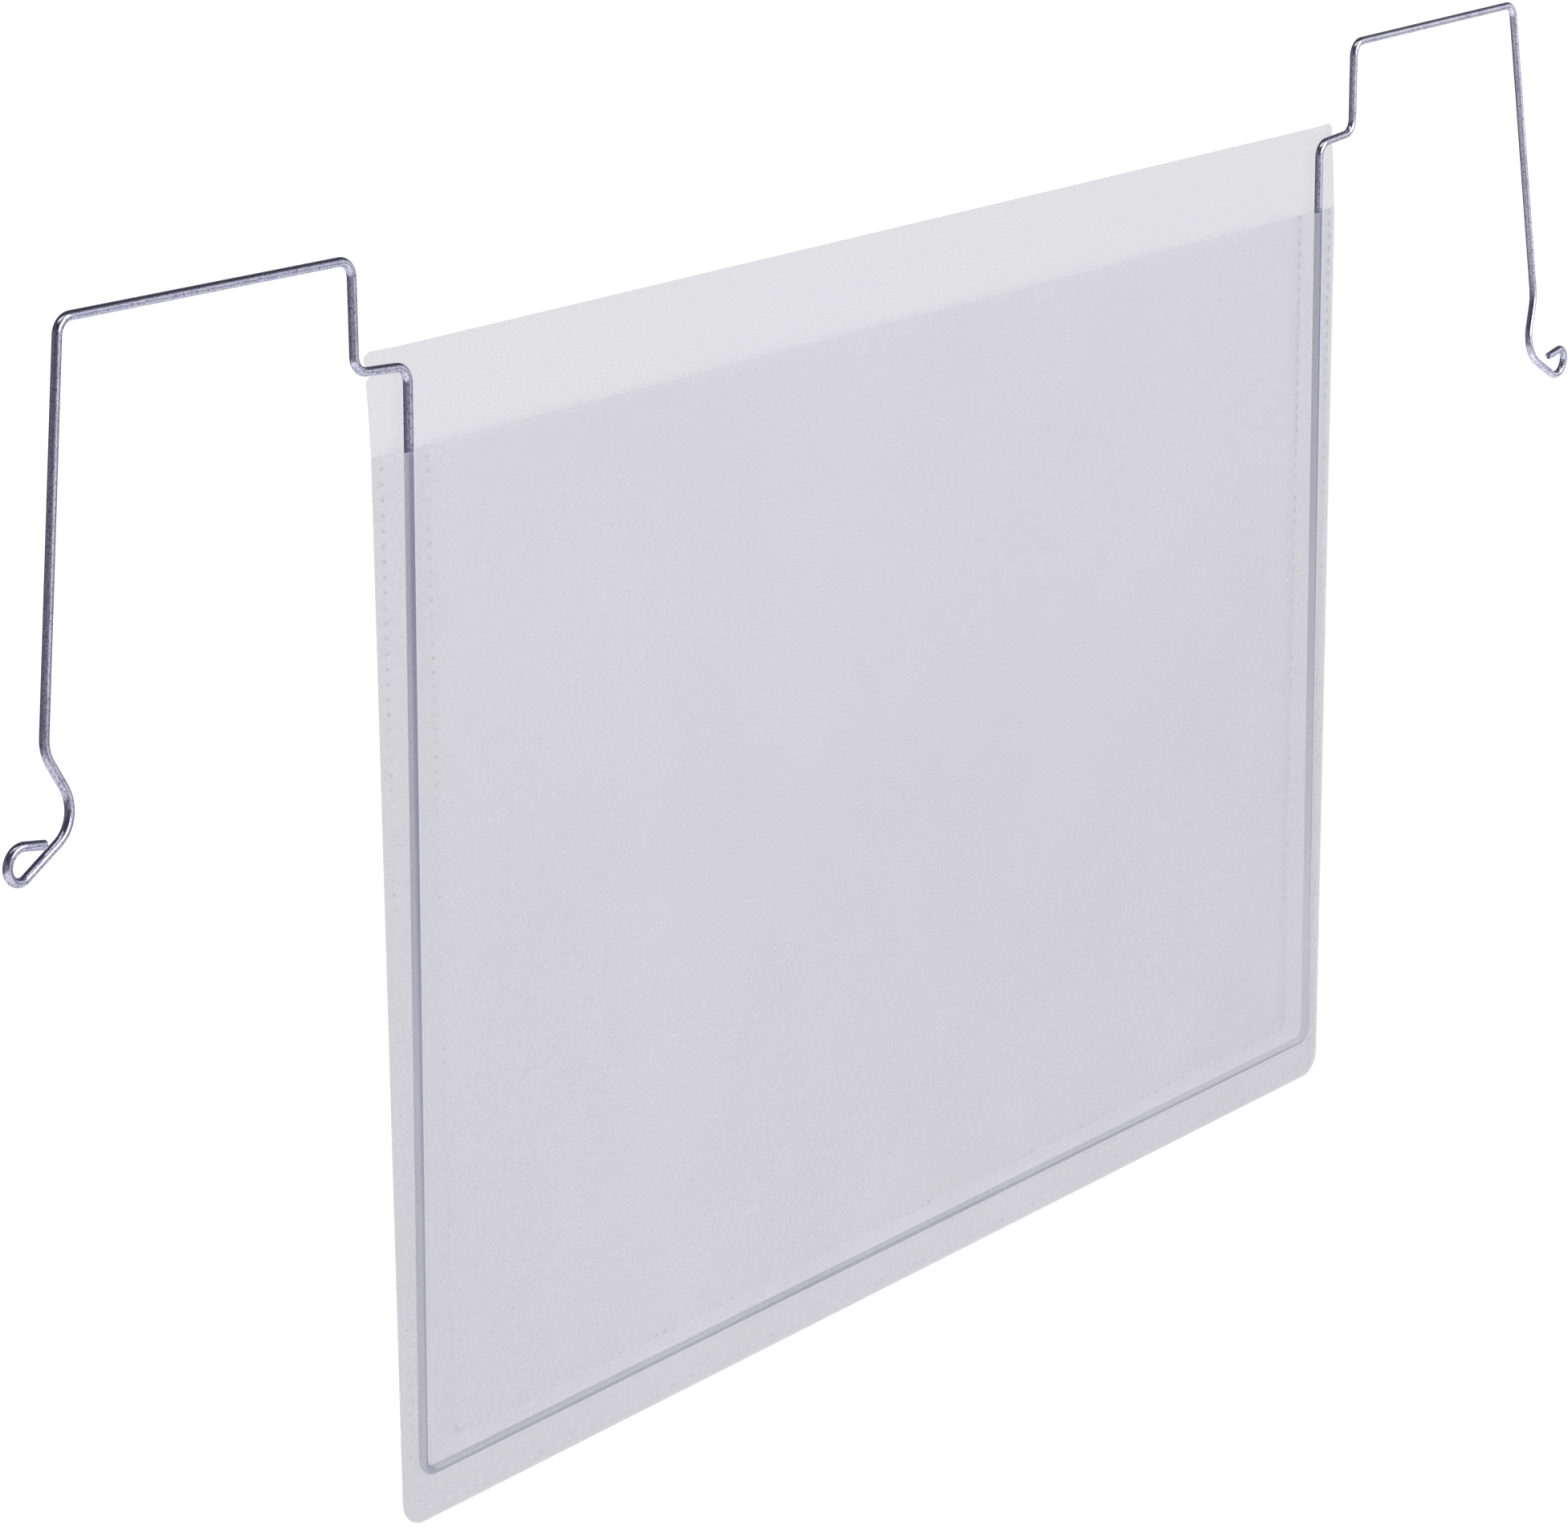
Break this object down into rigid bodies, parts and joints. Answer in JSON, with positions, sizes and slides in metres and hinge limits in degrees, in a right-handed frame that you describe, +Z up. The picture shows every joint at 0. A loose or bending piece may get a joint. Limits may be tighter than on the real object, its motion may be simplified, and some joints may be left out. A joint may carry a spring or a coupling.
{
  "type": "hanging sign holder",
  "caption": "Flat translucent pocket for a landscape sign, open at the top and hung from two bent wire arms that end in small hooks.",
  "frame": {"origin": "middle of the line that the two wire arms hang by, at the height of the undersides of the arms halfway along them", "axes": "+X along the pocket to the reader's right, +Z up, -Y towards the reader of the sign"},
  "size_m": [0.5398, 0.0089, 0.2519],
  "materials": {
    "wire": "bright zinc-plated drawn wire, smooth with faint drawing marks",
    "back_film": "milky translucent film, finely frosted",
    "front_film": "milky translucent film, finely frosted, with rows of short weld marks"
  },
  "bodies": {
    "root": {"wire_frame": "wire", "back_sheet": "back_film", "front_sheet": "front_film"}
  },
  "joints": []
}
